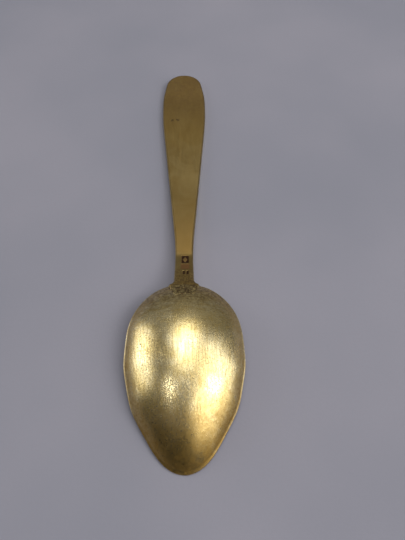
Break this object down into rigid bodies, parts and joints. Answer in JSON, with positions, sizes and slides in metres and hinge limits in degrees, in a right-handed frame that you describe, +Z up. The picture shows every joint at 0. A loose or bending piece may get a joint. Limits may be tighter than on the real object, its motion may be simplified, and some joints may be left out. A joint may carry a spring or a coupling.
{
  "type": "souvenir teaspoon",
  "caption": "Small gilt teaspoon lying face down: pointed egg-shaped bowl soldered to a flat handle that widens to a long rounded end, with punch marks on its neck.",
  "frame": {"origin": "on the resting plane, half way along the spoon's length and on its middle line, as it lies face down", "axes": "+Y along the spoon from the tip of the bowl to the end of the handle; +Z up, towards the spoon's back; +X to the right"},
  "size_m": [0.0284, 0.1302, 0.01],
  "materials": {
    "gilt_bowl": "satin gilding, worn and speckled",
    "gilt_handle": "satin gilding, tarnished brown towards the end",
    "gilt_solder": "dull mottled solder under gilding"
  },
  "bodies": {
    "root": {"bowl": "gilt_bowl", "handle": "gilt_handle", "solder_seam": "gilt_solder"}
  },
  "joints": []
}
